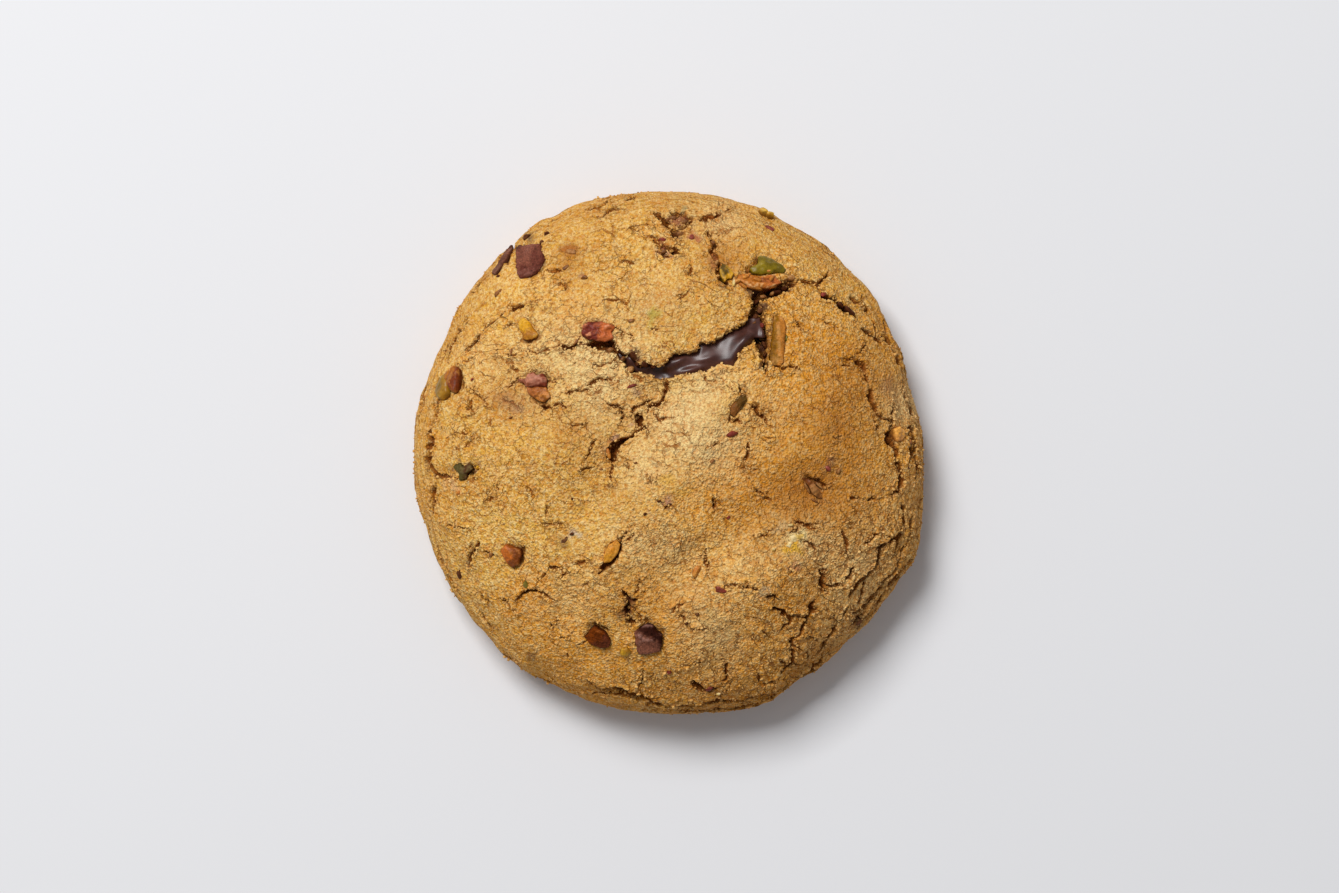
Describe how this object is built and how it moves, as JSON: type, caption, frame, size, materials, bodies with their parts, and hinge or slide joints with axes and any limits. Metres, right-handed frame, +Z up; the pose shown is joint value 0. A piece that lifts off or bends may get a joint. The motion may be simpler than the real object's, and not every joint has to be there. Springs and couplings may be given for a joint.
{
  "type": "pistachio cookie",
  "caption": "Thick round baked cookie with a cracked sandy top, a split that shows melted chocolate, and pistachio pieces and chocolate chunks set in the crust.",
  "frame": {"origin": "middle of the footprint, at the level the cookie rests on", "axes": "+Z up out of the cracked top; +X towards the side with the long rim cracks; +Y towards the split and the melted chocolate"},
  "size_m": [0.099, 0.1018, 0.0317],
  "materials": {
    "baked_dough": "matte, sandy baked crust, golden brown",
    "melted_chocolate": "wet gloss, dark brown",
    "chocolate_chunk": "dull, dark purple-brown",
    "pistachio_green": "smooth, slightly oily green",
    "pistachio_olive": "satin olive brown",
    "pistachio_yellow": "satin yellow",
    "pistachio_orange": "satin roasted orange brown",
    "pistachio_red_skin": "satin red-brown skin"
  },
  "bodies": {
    "root": {"dough": "baked_dough", "melted_chocolate": "melted_chocolate", "chocolate_chunk_far_left": "chocolate_chunk", "chocolate_chunk_near_middle": "chocolate_chunk", "chocolate_chunk_near_left": "chocolate_chunk", "chocolate_smear_far_left": "chocolate_chunk", "pistachio_green_half": "pistachio_green", "pistachio_broken_flesh": "pistachio_orange", "pistachio_sliver_far": "pistachio_yellow", "pistachio_long_right": "pistachio_olive", "pistachio_left_rim_green": "pistachio_green", "pistachio_left_rim_red": "pistachio_red_skin", "pistachio_red_half": "pistachio_red_skin", "pistachio_left_upper_lobe": "pistachio_red_skin", "pistachio_left_lower_lobe": "pistachio_orange", "pistachio_yellow_left": "pistachio_yellow", "pistachio_orange_near_left": "pistachio_orange", "pistachio_orange_middle": "pistachio_orange", "pistachio_olive_strip": "pistachio_olive", "pistachio_dark_left": "pistachio_olive", "pistachio_right_rim": "pistachio_orange", "pistachio_fibrous_right": "pistachio_red_skin"}
  },
  "joints": []
}
